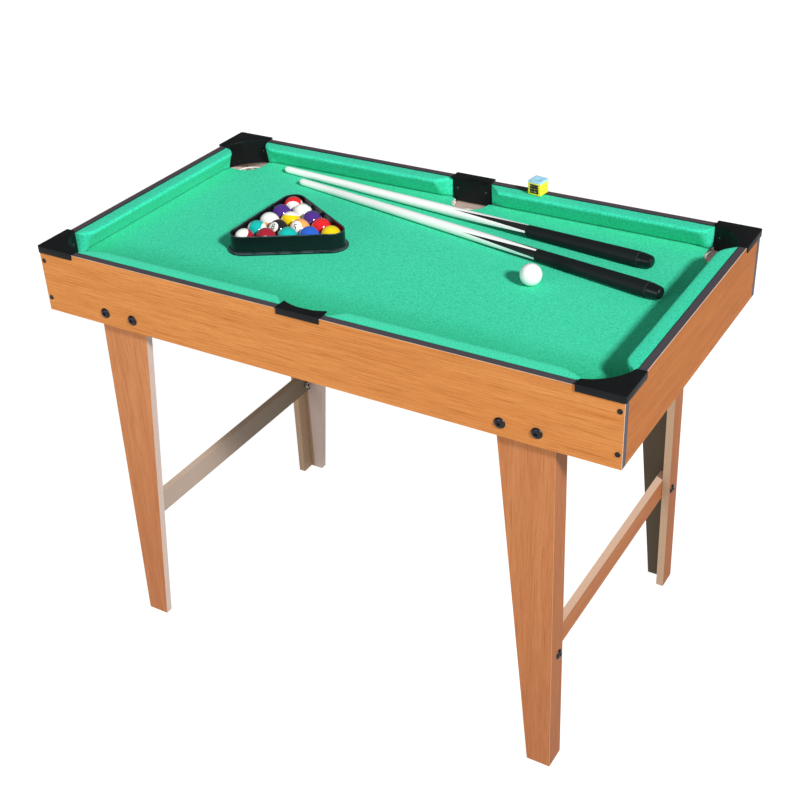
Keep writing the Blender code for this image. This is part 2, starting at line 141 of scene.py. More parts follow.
class Nodes:
    """A material's node tree, built up from small steps."""

    def __init__(self, name, roughness, metallic=0.0, **sockets):
        self.material = bpy.data.materials.new(name)
        self.material.use_nodes = True
        self.tree = self.material.node_tree
        self.shader = self.tree.nodes["Principled BSDF"]
        self.shader.inputs["Roughness"].default_value = roughness
        self.shader.inputs["Metallic"].default_value = metallic
        for socket, value in sockets.items():
            self.shader.inputs[socket.replace("_", " ")].default_value = value

    def put(self, value, socket):
        if isinstance(value, bpy.types.NodeSocket):
            self.tree.links.new(value, socket)
        elif isinstance(value, tuple) and len(value) == 3 and socket.type == "RGBA":
            socket.default_value = (*value, 1)
        else:
            socket.default_value = value

    def math(self, operation, a, b=0.0, c=0.0):
        node = self.tree.nodes.new("ShaderNodeMath")
        node.operation = operation
        for value, socket in zip((a, b, c), node.inputs):
            self.put(value, socket)
        return node.outputs[0]

    def vector(self, operation, a, b=(0.0, 0.0, 0.0)):
        node = self.tree.nodes.new("ShaderNodeVectorMath")
        node.operation = operation
        self.put(a, node.inputs[0])
        self.put(b, node.inputs[1])
        return node.outputs["Value" if operation == "DOT_PRODUCT" else "Vector"]

    def coordinate(self, kind):
        return self.tree.nodes.new("ShaderNodeTexCoord").outputs[kind]

    def object(self):
        return self.coordinate("Object")

    def split(self, vector):
        node = self.tree.nodes.new("ShaderNodeSeparateXYZ")
        self.put(vector, node.inputs[0])
        return node.outputs[0], node.outputs[1], node.outputs[2]

    def noise(self, vector, scale, detail=2.0, roughness=0.5):
        """Noise; scale is one number, or one for each axis."""
        node = self.tree.nodes.new("ShaderNodeTexNoise")
        if isinstance(scale, tuple):
            vector = self.vector("MULTIPLY", vector, scale)
            scale = 1.0
        self.put(vector, node.inputs["Vector"])
        node.inputs["Scale"].default_value = scale
        node.inputs["Detail"].default_value = detail
        node.inputs["Roughness"].default_value = roughness
        return node.outputs["Fac"]

    def ramp(self, value, *stops):
        """A colour ramp through (position, colour) stops."""
        node = self.tree.nodes.new("ShaderNodeValToRGB")
        elements = node.color_ramp.elements
        while len(elements) < len(stops):
            elements.new(0.5)
        for element, (position, colour) in zip(elements, stops):
            element.position = position
            element.color = (*colour, 1)
        self.put(value, node.inputs[0])
        return node.outputs[0]

    def step(self, value, low, high):
        """0 at low and 1 at high, and level beyond them; low may be the greater of the two."""
        node = self.tree.nodes.new("ShaderNodeMapRange")
        self.put(value, node.inputs["Value"])
        node.inputs["From Min"].default_value = low
        node.inputs["From Max"].default_value = high
        return node.outputs[0]

    def mix(self, factor, a, b, blend="MIX"):
        node = self.tree.nodes.new("ShaderNodeMix")
        node.data_type = "RGBA"
        node.blend_type = blend
        self.put(factor, node.inputs[0])
        self.put(a, node.inputs[6])
        self.put(b, node.inputs[7])
        return node.outputs[2]

    def colour(self, value):
        self.put(value, self.shader.inputs["Base Color"])

    def roughness(self, value):
        self.put(value, self.shader.inputs["Roughness"])

    def bump(self, height, distance, strength=1.0):
        node = self.tree.nodes.new("ShaderNodeBump")
        node.inputs["Strength"].default_value = strength
        node.inputs["Distance"].default_value = distance
        self.put(height, node.inputs["Height"])
        self.put(node.outputs[0], self.shader.inputs["Normal"])


def felt(name, tint, fuzz, rough_patches, contrast=1.0, seam=0.0):
    """Needled felt: fine fibre speckle over a faint mottle, with wide paler patches.

    A contrast above 1 spreads the speckle's tones. A cushion is darker below the height of its
    seam, which is painted shade where it meets the bed. With no seam it is the bed, darker in a
    band along the front rail, which stands in for the shade there.
    """
    build = Nodes(name, 0.95, Specular_IOR_Level=0.12, Sheen_Weight=fuzz, Sheen_Roughness=0.6)
    place = build.object()
    fibres = build.noise(place, 1400, 3, 0.75)
    tufts = build.noise(place, 560, 2, 0.60)
    mottle = build.noise(place, 230, 3, 0.65)
    patches = build.noise(place, 7, 2)
    speckle = build.math("ADD", build.math("MULTIPLY", fibres, 0.45), build.math("MULTIPLY", tufts, 0.55))
    dark = tuple(c * k ** contrast for c, k in zip(tint, (0.52, 0.78, 0.71)))
    light = tuple(c * k ** contrast for c, k in zip(tint, (1.40, 1.15, 1.20)))
    colour = build.ramp(speckle, (0.40, dark), (0.50, tint), (0.60, light))
    blotch = build.math("MULTIPLY", build.step(mottle, 0.52, 0.68), rough_patches)
    colour = build.mix(blotch, colour, dark)
    colour = build.mix(build.math("MULTIPLY", build.step(patches, 0.45, 0.80), 0.20), colour, light)
    y, z = build.split(place)[1:]
    if seam:
        # Painted shade at the cushion's foot, where it meets the bed
        seam_shade = build.step(z, seam + 0.0007, seam - 0.0007)
        colour = build.mix(seam_shade, colour, tuple(0.45 * c for c in tint))
    else:
        shaded = build.mix(1.0, colour, (0.60, 0.80, 0.70), "MULTIPLY")
        colour = build.mix(build.step(y, -0.115, -0.180), colour, shaded)
    build.colour(colour)
    build.bump(build.math("ADD", speckle, build.math("MULTIPLY", mottle, 0.6)), 0.0010, 0.55)
    return build.material


def wood_grain(build, place, along, base, light, dark):
    """Printed wood: long thin streaks along one axis, sparse darker ones, flecks and wide bands."""
    def stretched(across, lengthways, detail, roughness):
        scale = [across] * 3
        scale[along] = lengthways
        return build.noise(wavy, tuple(scale), detail, roughness)

    drift = build.math("MULTIPLY", build.math("SUBTRACT", build.noise(place, 5.0, 2), 0.5), 0.003)
    shift = build.tree.nodes.new("ShaderNodeCombineXYZ")
    for socket in shift.inputs:
        build.put(drift, socket)
    wavy = build.vector("ADD", place, shift.outputs[0])
    streaks = stretched(900.0, 15.0, 3, 0.65)
    lines = stretched(620.0, 11.0, 4, 0.72)
    bands = stretched(60.0, 2.2, 2, 0.50)
    flecks = stretched(1500.0, 120.0, 1, 0.50)
    colour = build.mix(build.step(bands, 0.35, 0.65), base, light)
    colour = build.mix(build.math("MULTIPLY", build.step(streaks, 0.44, 0.63), 0.46), colour, dark)
    colour = build.mix(build.math("MULTIPLY", build.step(lines, 0.56, 0.63), 0.64), colour, dark)
    colour = build.mix(build.math("MULTIPLY", build.step(flecks, 0.58, 0.72), 0.30), colour, dark)
    return colour, streaks


def raw_fibreboard(build, place, tone=(0.58, 0.455, 0.40), deep=(0.44, 0.335, 0.29)):
    speckle = build.noise(place, 900, 3, 0.7)
    return build.ramp(speckle, (0.3, deep), (0.7, tone))


def faces(build, axis, sign, limit=0.6):
    """1 where the object-space normal points along sign * axis."""
    normals = build.split(build.coordinate("Normal"))
    return build.math("GREATER_THAN", build.math("MULTIPLY", normals[axis], float(sign)), limit)


# Base, light and dark tones. The end aprons' are darker than the long ones', and the shades
# multiply the legs' end faces and feet and the stretchers' laminate: all stand in for the
# shade there.
BEECH = ((0.520, 0.198, 0.050), (0.570, 0.232, 0.064), (0.310, 0.090, 0.017))
END_BEECH = ((0.340, 0.106, 0.019), (0.384, 0.130, 0.026), (0.200, 0.050, 0.007))
LEG_BEECH = ((0.430, 0.164, 0.058), (0.480, 0.198, 0.076), (0.300, 0.096, 0.031))
EDGE_BAND = (0.064, 0.057, 0.068)
# A painted highlight along the outer rim of the aprons' top edges
PAINTED_EDGE_GLINT = (0.78, 0.62, 0.50)
# Painted shade in the gaps: the aprons' inner faces above the bed and the top edges' inner rim
GAP_SHADE = (0.016, 0.030, 0.024)
MITRE_LINE = (0.44, 0.20, 0.09)
SIDE_SHADE = (0.68, 0.62, 0.56)
LOW_SHADE = (0.78, 0.70, 0.71)
# Tone and deep tone of the legs' bare inner faces, for the front and the rear legs; the rear
# legs' paler ones are painted light, and the dark ones stand in for the deep shade inside the
# rear right leg
BACK = {-1: ((0.46, 0.365, 0.315), (0.35, 0.272, 0.230)),
        1: ((0.56, 0.445, 0.390), (0.43, 0.335, 0.290))}
DARK_BACK = ((0.095, 0.070, 0.045), (0.070, 0.050, 0.031))


def apron_look(name, axis, sign, wood):
    """Laminate outside, dark bands on the top and end edges, bare board inside and below."""
    build = Nodes(name, 0.60, Specular_IOR_Level=0.10)
    place = build.object()
    parts = build.split(place)
    along = 1 - axis
    grain, streaks = wood_grain(build, place, along, *wood)
    # Above the bed the inner face is painted shade
    backing = build.mix(build.step(parts[2], BED, BED + 0.001), raw_fibreboard(build, place), GAP_SHADE)
    colour = build.mix(faces(build, axis, sign), backing, grain)
    lengthways = build.split(build.coordinate("Normal"))[along]
    end_face = build.math("GREATER_THAN", build.math("ABSOLUTE", lengthways), 0.6)
    edge = build.math("MAXIMUM", faces(build, 2, 1), end_face)
    outer = (LENGTH if axis == 0 else WIDTH) / 2
    depth = build.math("SUBTRACT", outer, build.math("MULTIPLY", parts[axis], float(sign)))
    speckle = build.noise(place, 1500, 2)
    band = build.mix(speckle, EDGE_BAND, tuple(1.25 * tone for tone in EDGE_BAND))
    # A painted highlight along the top edge's outer rim
    band = build.mix(build.step(depth, 0.0011, 0.0008), band, PAINTED_EDGE_GLINT)
    # A line of painted shade along the top edge's inner rim, at the gap to the cushion
    inner_gap_shade = build.step(depth, PANEL - 0.0008, PANEL - 0.0006)
    band = build.mix(inner_gap_shade, band, GAP_SHADE)
    colour = build.mix(edge, colour, band)
    build.colour(colour)
    build.bump(streaks, 0.0002, 0.25)
    return build.material


def leg_look(name, end, side):
    """Laminate on the two outer faces with a pale line at the mitre; bare board elsewhere."""
    build = Nodes(name, 0.60, Specular_IOR_Level=0.12)
    place = build.object()
    x, y, z = build.split(place)
    grain, streaks = wood_grain(build, place, 2, *LEG_BEECH)
    on_end = faces(build, 0, end, 0.985)
    grain = build.mix(on_end, grain, SIDE_SHADE, "MULTIPLY")
    low = build.math("MULTIPLY", build.step(z, 0.45, 0.0), 0.8)
    grain = build.mix(low, grain, build.mix(1.0, grain, LOW_SHADE, "MULTIPLY"))
    outside = build.math("MAXIMUM", faces(build, 1, side, 0.8), on_end)
    tones = DARK_BACK if (end, side) == (1, 1) else BACK[side]
    inside = raw_fibreboard(build, place, *tones)
    # A darker, browner tone of the bare board on the narrow board: painted shade
    edge = raw_fibreboard(build, place, (0.42, 0.285, 0.185), (0.31, 0.205, 0.130))
    narrow = build.step(build.math("MULTIPLY", x, float(end)), LEG_CORNER - 0.0145, LEG_CORNER - 0.0135)
    inside = build.mix(narrow, inside, edge)
    colour = build.mix(outside, inside, grain)
    lean = build.math("MULTIPLY", build.math("SUBTRACT", APRON_BOTTOM, z), SPLAY)
    corner_x = build.math("SUBTRACT", build.math("ADD", lean, LEG_CORNER),
                          build.math("MULTIPLY", x, float(end)))
    corner_y = build.math("SUBTRACT", build.math("ADD", lean, INNER_Y - GAP),
                          build.math("MULTIPLY", y, float(side)))
    near = build.math("MAXIMUM", corner_x, corner_y)
    line = build.math("MULTIPLY", build.step(near, 0.0009, 0.0005), outside)
    colour = build.mix(line, colour, MITRE_LINE)
    build.colour(colour)
    build.bump(streaks, 0.0002, 0.25)
    return build.material


def stretcher_look(name, end):
    """Laminate outside and bare board elsewhere.

    The laminate is darkened and the bare board's faces other than the top are dark, both painted
    shade; the top is paler, which is painted light. The left one is darker towards the rear,
    which stands in for the shade there.
    """
    build = Nodes(name, 0.6, Specular_IOR_Level=0.12)
    place = build.object()
    grain, streaks = wood_grain(build, place, 1, *LEG_BEECH)
    # Painted shade on the laminate
    grain = build.mix(1.0, grain, SIDE_SHADE, "MULTIPLY")
    # A paler top is painted light, and darker other faces are painted shade
    top = (0.72, 0.50, 0.36) if end > 0 else (0.62, 0.49, 0.38)
    lit_top = raw_fibreboard(build, place, top, tuple(0.78 * c for c in top))
    shaded_bare = raw_fibreboard(build, place, (0.33, 0.26, 0.212), (0.25, 0.195, 0.155))
    colour = build.mix(faces(build, 0, end), shaded_bare, grain)
    colour = build.mix(faces(build, 2, 1), colour, lit_top)
    to_rear = build.step(build.split(place)[1], -0.12, 0.20)
    shaded = build.mix(1.0, colour, (0.52, 0.49, 0.40), "MULTIPLY")
    colour = build.mix(to_rear, colour, shaded) if end < 0 else colour
    build.colour(colour)
    build.bump(streaks, 0.0002, 0.3)
    return build.material


def board_look():
    build = Nodes("raw_board", 0.9)
    place = build.object()
    face = raw_fibreboard(build, place)
    edge = raw_fibreboard(build, place, (0.46, 0.37, 0.31), (0.35, 0.28, 0.23))
    upright = build.math("ABSOLUTE", build.split(build.coordinate("Normal"))[2])
    build.colour(build.mix(build.math("LESS_THAN", upright, 0.5), face, edge))
    build.bump(build.noise(place, 900, 3), 0.0004, 0.4)
    return build.material


def plastic(name, tone, roughness, specular, grain=0.15):
    """Moulded plastic with a fine spark-eroded grain."""
    build = Nodes(name, roughness, Specular_IOR_Level=specular)
    place = build.object()
    cloud = build.noise(place, 35, 2)
    build.colour(build.mix(cloud, tone, tuple(1.5 * c + 0.001 for c in tone)))
    build.roughness(build.math("ADD", build.math("MULTIPLY", cloud, 0.15), roughness - 0.07))
    build.bump(build.noise(place, 1600, 2), 0.0002, grain)
    return build.material


def metal(name, tone, roughness, metallic):
    build = Nodes(name, roughness, metallic)
    place = build.object()
    marks = build.noise(place, 700, 3)
    build.colour(build.mix(marks, tone, tuple(0.6 * c for c in tone)))
    build.bump(marks, 0.0001, 0.2)
    return build.material


# Meshes

def add(name, mesh, look, body="table"):
    piece = bpy.data.objects.new(name, mesh)
    mesh.materials.clear()
    mesh.materials.append(look)
    bpy.context.scene.collection.objects.link(piece)
    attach(piece, body)
    return piece


def finished(bm, name, smooth=40):
    bmesh.ops.recalc_face_normals(bm, faces=bm.faces)
    mesh = bpy.data.meshes.new(name)
    bm.to_mesh(mesh)
    bm.free()
    if smooth:
        mesh.shade_smooth()
        mesh.set_sharp_from_angle(angle=radians(smooth))
    return mesh


def loft(bm, rings, caps=True):
    """Quads between closed rings of equally many points."""
    loops = [[bm.verts.new(point) for point in ring] for ring in rings]
    count = len(loops[0])
    for a, b in zip(loops, loops[1:]):
        for i in range(count):
            j = (i + 1) % count
            bm.faces.new((a[i], a[j], b[j], b[i]))
    if caps:
        bm.faces.new(loops[0][::-1])
        bm.faces.new(loops[-1])


def turned_rings(profile, segments):
    rings = []
    for radius, height in profile:
        turns = [2 * pi * i / segments for i in range(segments)]
        rings.append([(max(radius, 1e-5) * cos(a), max(radius, 1e-5) * sin(a), height) for a in turns])
    return rings


def turned_mesh(name, profile, segments, smooth=35):
    bm = bmesh.new()
    loft(bm, turned_rings(profile, segments))
    return finished(bm, name, smooth)


def copies_mesh(name, mesh, places):
    bm = bmesh.new()
    for place in places:
        copy = mesh.copy()
        copy.transform(place)
        bm.from_mesh(copy)
        bpy.data.meshes.remove(copy)
    joined = bpy.data.meshes.new(name)
    bm.to_mesh(joined)
    bm.free()
    return joined


def facing(point, direction):
    turn = Vector(direction).to_track_quat("Z", "Y").to_matrix().to_4x4()
    return Matrix.Translation(point) @ turn


def bevelled(node, name, width, segments, look, body="table", angle=30):
    """A copy of a CAD node with its edges rounded, which stands for the node."""
    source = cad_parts[node]
    bm = bmesh.new()
    bm.from_mesh(source.data)
    bmesh.ops.remove_doubles(bm, verts=bm.verts, dist=1e-5)
    bmesh.ops.dissolve_limit(bm, angle_limit=radians(2), verts=bm.verts, edges=bm.edges)
    sharp = [edge for edge in bm.edges if len(edge.link_faces) == 2
             and edge.calc_face_angle() > radians(angle)]
    bmesh.ops.bevel(bm, geom=sharp, offset=width, offset_type="OFFSET", segments=segments,
                    profile=0.5, affect="EDGES", clamp_overlap=True)
    piece = add(name, finished(bm, name, 50), look, body)
    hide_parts(node)


def tube_rings(path, radius, sides):
    """Rings of a tube along a path of points, each turned as little as it can be from the last."""
    rings = []
    for i, point in enumerate(path):
        before = path[max(i - 1, 0)]
        after = path[min(i + 1, len(path) - 1)]
        way = (after - before).normalized()
        across = way.orthogonal() if i == 0 else across - way * across.dot(way)
        across.normalize()
        other = way.cross(across)
        rings.append([point + radius * (cos(2 * pi * k / sides) * across + sin(2 * pi * k / sides) * other)
                      for k in range(sides)])
    return rings


# Frame pieces

def dress(node, look):
    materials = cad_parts[node].data.materials
    materials.clear()
    materials.append(look)


def dress_boards():
    for side, name in SIDES.items():
        dress(f"apron_{name}", apron_look(f"beech_{name}", 1, side, BEECH))
        for end, end_name in ENDS.items():
            dress(f"leg_{name}_{end_name}", leg_look(f"leg_beech_{name}_{end_name}", end, side))
    for end, name in ENDS.items():
        dress(f"apron_{name}", apron_look(f"beech_{name}", 0, end, END_BEECH))
        dress(f"stretcher_{name}", stretcher_look(f"stretcher_beech_{name}", end))
    dress("playfield_board", board_look())


# Felt

def bed_outline(inset=0.0):
    """The cloth's outline, with finer arcs than the board below it."""
    edge_x = INNER_X - GAP - inset
    edge_y = INNER_Y - GAP - inset
    centre_x = INNER_X - CORNER_INSET
    centre_y = INNER_Y - CORNER_INSET
    radius = CORNER_NOTCH + inset
    quarter = []
    for i in range(17):
        a = -pi / 2 - pi / 2 * i / 16
        quarter.append((centre_x + radius * cos(a), centre_y + radius * sin(a)))
    quarter = [(edge_x, quarter[0][1])] + quarter + [(quarter[-1][0], edge_y)]
    notch = []
    for i in range(13):
        a = -pi / 2 * i / 12
        reach = SIDE_NOTCH + inset
        notch.append((reach * cos(a), INNER_Y - SIDE_INSET + reach * sin(a)))
    slot_x = SIDE_CAP + 0.0005 + inset
    slot_y = INNER_Y - GAP - 0.0035 - inset
    quarter += [(slot_x, edge_y), (slot_x, slot_y), (notch[0][0], slot_y)] + notch
    rear = quarter + [(-x, y) for x, y in quarter[-2::-1]]
    return rear + [(-x, -y) for x, y in rear]


def make_bed_cloth(look):
    bm = bmesh.new()
    levels = ((BED - 0.001, 0.0), (BED - 0.0003, 0.0), (BED, 0.0004))
    rings = [[(x, y, z) for x, y in bed_outline(inset)] for z, inset in levels]
    loft(bm, rings)
    bm.normal_update()
    wide = [face for face in bm.faces if len(face.verts) > 4]
    bmesh.ops.triangulate(bm, faces=wide, ngon_method="EAR_CLIP")
    cloth = add("bed_felt", finished(bm, "bed_felt", 30), look)
    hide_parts("bed_cloth")


# How far the cushions stand out, and their section as distances out and down from the rim
NOSE = 0.023
CUSHION = ((0.0003, 0.0010), (0.0060, 0.0008), (0.0120, 0.0007), (0.0175, 0.0008), (0.0205, 0.0011),
           (0.0218, 0.0016), (0.0226, 0.0024), (0.0230, 0.0036), (0.0229, 0.0050), (0.0222, 0.0066),
           (0.0190, 0.0112), (0.0140, 0.0184), (0.0090, 0.0256), (0.0052, 0.0312), (0.0038, 0.0332),
           (0.0003, 0.0335))
# How far from a square end its face starts to drop more steeply to the bed
PLUMB = 0.018
# For each shape of end: how far in it reaches its full section, the share at the very end, and
# the two powers of the curve between them
ENDINGS = {"square": (0.024, 0.10, 2.0, 0.5), "tapered": (0.045, 0.30, 2.3, 1.0),
           "rounded": (0.033, 0.09, 2.3, 1.0)}


def end_reach(distance, ending):
    """How far the cushion reaches in from the apron, at a distance from its end."""
    if ending == "folded":
        return min(NOSE, 0.0012 + distance * 1.02)
    depth, least, inner, outer = ENDINGS[ending]
    share = min(distance / depth, 1)
    return NOSE * (least + (1 - least) * (1 - (1 - share) ** inner) ** outer)


def cushion_mesh(name, start, stop, first, last):
    """Felt round a rubber wedge; the apron's inner face is at Y = 0 and the cushion at -Y."""
    steps = [0, 0.0006, 0.0014, 0.0026, 0.0042, 0.0062, 0.0088, 0.0118, 0.0150, 0.0186, 0.0220, 0.0240,
             0.0265, 0.0300, 0.040]
    inner = [start + 0.04 + (stop - start - 0.08) * i / 24 for i in range(1, 24)]
    stations = [start + s for s in steps] + inner + [stop - s for s in steps[::-1]]
    rings = []
    for x in stations:
        reach = min(end_reach(x - start, first), end_reach(stop - x, last))
        wave = 0.00012 * sin(x * 61) + 0.00008 * sin(x * 143 + 1)
        square = max(first == "square" and start + PLUMB - x, last == "square" and x - stop + PLUMB, 0)
        plumb = 0.45 * (square / PLUMB) ** 0.7
        ring = []
        for u, drop in CUSHION:
            share = u / NOSE
            if 0.0036 < drop < 0.0335:
                share += (1 - share) * plumb
            slump = wave * (1 if drop < 0.01 else 0)
            ring.append((x, -max(share * reach, 0.0003), RIM - drop + slump))
        rings.append(ring)
    bm = bmesh.new()
    loft(bm, rings)
    return finished(bm, name, 42)


def make_cushions(look, lit_front_look):
    gap = 0.0005
    corner = INNER_X - CORNER_CAP - gap
    side_end = SIDE_CAP + gap
    for side, side_name in SIDES.items():
        turn = Matrix.Rotation(0 if side > 0 else pi, 4, "Z")
        for end, end_name in ENDS.items():
            endings = ("folded", "tapered" if side < 0 else "square")
            if end * side < 0:
                endings = endings[::-1]
            start, stop = sorted((end * side * side_end, end * side * corner))
            name = f"felt_cushion_{side_name}_{end_name}"
            mesh = cushion_mesh(name, start, stop, *endings)
            mesh.transform(Matrix.Translation((0, side * INNER_Y, 0)) @ turn)
            # The front cushions take the paler felt, which is painted light
            piece = add(name, mesh, look if side > 0 else lit_front_look)
            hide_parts(f"cushion_{side_name}_{end_name}")
    reach = INNER_Y - CORNER_CAP - gap
    for end, end_name in ENDS.items():
        name = f"felt_cushion_{end_name}_end"
        ending = "rounded" if end > 0 else "square"
        mesh = cushion_mesh(name, -reach, reach, ending, ending)
        mesh.transform(Matrix.Translation((end * INNER_X, 0, 0)) @ Matrix.Rotation(-end * pi / 2, 4, "Z"))
        piece = add(name, mesh, look)
        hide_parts(f"cushion_{end_name}_end")


# Pockets

# A net's section, as shares of its depth and of its radius
NET_PROFILE = ((0.0, 0.985), (0.20, 0.985), (0.40, 0.955), (0.60, 0.92), (0.75, 0.87), (0.88, 0.76),
               (0.95, 0.60), (0.985, 0.42), (0.995, 0.24))


def net_point(centre, radius, depth, angle, share):
    """A point on the bag; share runs from 0 at the rim to 1 at the bottom ring."""
    place = share * (len(NET_PROFILE) - 1)
    index = min(int(place), len(NET_PROFILE) - 2)
    part = place - index
    (d0, r0), (d1, r1) = NET_PROFILE[index], NET_PROFILE[index + 1]
    d = d0 + (d1 - d0) * part
    r = (r0 + (r1 - r0) * part) * (radius - 0.0010)
    return centre + Vector((r * cos(angle), r * sin(angle), -0.0016 - d * (depth - 0.0032)))


def net_mesh(name, centre, radius, depth):
    """Knotted cord: two sets of slanting cords, their knots, a rim cord and a bottom ring."""
    bm = bmesh.new()
    strands = 12
    turns = pi * 0.95
    for way in SIGNS:
        for strand in range(strands):
            start = 2 * pi * strand / strands
            path = [net_point(centre, radius, depth, start + way * turns * i / 24 * 0.5, i / 24)
                    for i in range(25)]
            loft(bm, tube_rings(path, 0.00065, 5))
    for share in (0.0, 1.0):
        path = [net_point(centre, radius, depth, 2 * pi * i / 32, share) for i in range(33)]
        loft(bm, tube_rings(path, 0.0011, 6))
    rows = 6
    for row in range(1, rows):
        share = row / rows
        for strand in range(strands):
            crossing = turns * 0.5 * share
            angle = 2 * pi * strand / strands + crossing % (pi / strands * 2)
            point = net_point(centre, radius, depth, angle, share)
            bmesh.ops.create_icosphere(bm, subdivisions=1, radius=0.0011,
                                       matrix=Matrix.Translation(point))
    return finished(bm, name, 60)


def loop_mesh(name, centre, radius, start, stop):
    """Two slack turns of cord above the net, against the pocket's wall."""
    bm = bmesh.new()
    for drop, slack in ((0.0017, 0.0008), (0.0056, 0.0020)):
        path = []
        for i in range(9):
            angle = start + (stop - start) * i / 8
            sag = drop + slack * sin(pi * i / 8)
            path.append(Vector(centre) + Vector((radius * cos(angle), radius * sin(angle), -sag)))
        loft(bm, tube_rings(path, 0.0012, 6))
    return finished(bm, name, 60)


def make_nets(look):
    for side_name in SIDES.values():
        for place in ("left", "middle", "right"):
            node = f"pocket_net_{side_name}_{place}"
            low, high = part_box(node)
            centre = middle(low, high)
            centre.z = high[2]
            radius = (high[0] - low[0]) / 2
            name = f"cord_net_{side_name}_{place}"
            piece = add(name, net_mesh(name, centre, radius, high[2] - low[2]), look)
            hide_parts(node)
    corner = (INNER_X - CORNER_INSET, INNER_Y - CORNER_INSET, BED)
    side = (0, INNER_Y - SIDE_INSET, BED)
    for name, centre, radius, start, stop in (("cord_loop_corner", corner, 0.0296, 150, 222),
                                              ("cord_loop_side", side, 0.0286, 178, 200)):
        mesh = loop_mesh(name, centre, radius, radians(start), radians(stop))
        add(name, mesh, look)


def cord_look():
    build = Nodes("net_cord", 0.9)
    twist = build.noise(build.object(), 2200, 2)
    build.colour(build.mix(twist, (0.88, 0.86, 0.82), (0.66, 0.64, 0.60)))
    build.bump(twist, 0.0003, 0.6)
    return build.material


# Fasteners

# Heights of the leg bolts and the cap screws below the rim, and the stretcher bolts' place
LEG_BOLT_DROP = 0.082
CAP_SCREW_DROP = 0.016
STRETCHER_Y = 0.2175
STRETCHER_Z = 0.197


def bolt_mesh(name, head, shank, length):
    """A domed head with a hexagon socket, and the shank below it."""
    socket = 0.36 * head
    segments = 36
    dome = [(socket * 1.15, 0.0031), (0.6 * head, 0.0028), (0.8 * head, 0.0020), (0.93 * head, 0.0011),
            (head, 0.0002), (head, 0), (shank, 0), (shank, -length + 0.0005), (shank - 0.0005, -length)]
    rings = []
    for height in (0.0012, 0.0030):
        ring = []
        for i in range(segments):
            angle = 2 * pi * i / segments
            flat = socket * cos(pi / 6) / cos((angle % (pi / 3)) - pi / 6)
            ring.append((flat * cos(angle), flat * sin(angle), height))
        rings.append(ring)
    bm = bmesh.new()
    loft(bm, rings + turned_rings(dome, segments))
    return finished(bm, name, 30)


def nut_mesh(name, radius, height, bore):
    """A hexagon nut with its corners turned down, more so at both faces."""
    bm = bmesh.new()
    segments = 36
    rings = []
    for scale, level in ((0.90, 0), (0.985, 0.12 * height), (0.985, 0.88 * height), (0.90, height)):
        ring = []
        for i in range(segments):
            angle = 2 * pi * i / segments
            edge = radius * cos(pi / 6) / cos((angle % (pi / 3)) - pi / 6)
            reach = min(edge, radius * scale)
            ring.append((reach * cos(angle), reach * sin(angle), level))
        rings.append(ring)
    inner = [[(bore * cos(2 * pi * i / segments), bore * sin(2 * pi * i / segments), level)
              for i in range(segments)] for level in (height, 0)]
    loft(bm, rings + inner + [rings[0]], caps=False)
    bmesh.ops.remove_doubles(bm, verts=bm.verts, dist=1e-6)
    return finished(bm, name, 30)


def screw_mesh(name, head, height):
    """A small domed head, with a shallow dish where its cross recess would be."""
    profile = [(0.25 * head, 0.45 * height), (0.32 * head, 0.9 * height), (0.6 * head, height),
               (0.88 * head, 0.7 * height), (head, 0.15 * height), (head, -0.0002), (0.5 * head, -0.0002)]
    return turned_mesh(name, profile, 20)


def make_fasteners(black, zinc, dull):
    shank_end = 0.0315
    for side, side_name in SIDES.items():
        for end, end_name in ENDS.items():
            for row in ("inner", "outer"):
                node = f"leg_bolt_{side_name}_{end_name}_{row}"
                low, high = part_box(node)
                centre = middle(low, high)
                place = facing((centre.x, side * (WIDTH / 2 + GAP), centre.z), (0, side, 0))
                mesh = bolt_mesh(f"socket_{node}", (high[0] - low[0]) / 2, 0.003, shank_end)
                mesh.transform(place)
                piece = add(f"socket_{node}", mesh, black)
                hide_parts(node)
    nut = nut_mesh("nut", 0.0068, 0.005, 0.0032)
    nut_y = INNER_Y - GAP - PANEL - GAP
    leg_x = [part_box(f"leg_bolt_rear_right_{row}") for row in ("inner", "outer")]
    leg_x = [(low[0] + high[0]) / 2 for low, high in leg_x]
    corners = [(end, side) for end in SIGNS for side in SIGNS]
    places = [facing((end * x, side * nut_y, RIM - LEG_BOLT_DROP), (0, -side, 0))
              for end, side in corners for x in leg_x]
    add("leg_nuts", copies_mesh("leg_nuts", nut, places), zinc)
    inner_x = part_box("stretcher_right")[0][0] - 0.0002
    outer_x = LEG_CORNER + SPLAY * (APRON_BOTTOM - STRETCHER_Z) + 0.0001
    head = bolt_mesh("stretcher_bolt", 0.0078, 0.003, 0.0300)
    places = [facing((end * outer_x, side * STRETCHER_Y, STRETCHER_Z), (end, 0, 0))
              for end, side in corners]
    add("stretcher_bolts", copies_mesh("stretcher_bolts", head, places), black)
    places = [facing((end * inner_x, side * STRETCHER_Y, STRETCHER_Z), (-end, 0, 0))
              for end, side in corners]
    add("stretcher_nuts", copies_mesh("stretcher_nuts", nut, places), zinc)
    screw = screw_mesh("apron_screw", 0.0037, 0.0012)
    places = [facing((end * (INNER_X + PANEL / 2), side * (WIDTH / 2 + 0.0001), RIM - drop), (0, side, 0))
              for end, side in corners for drop in (0.020, 0.0805)]
    add("apron_screws", copies_mesh("apron_screws", screw, places), black)
    screw = screw_mesh("cap_screw", 0.0014, 0.0005)
    face = INNER_Y - GAP - 0.002
    places = [facing((end * 0.025, side * face, RIM - CAP_SCREW_DROP), (0, -side, 0))
              for end, side in corners]
    for end, side in corners:
        places += wing_screws(end, side)
    add("cap_screws", copies_mesh("cap_screws", screw, places), dull)


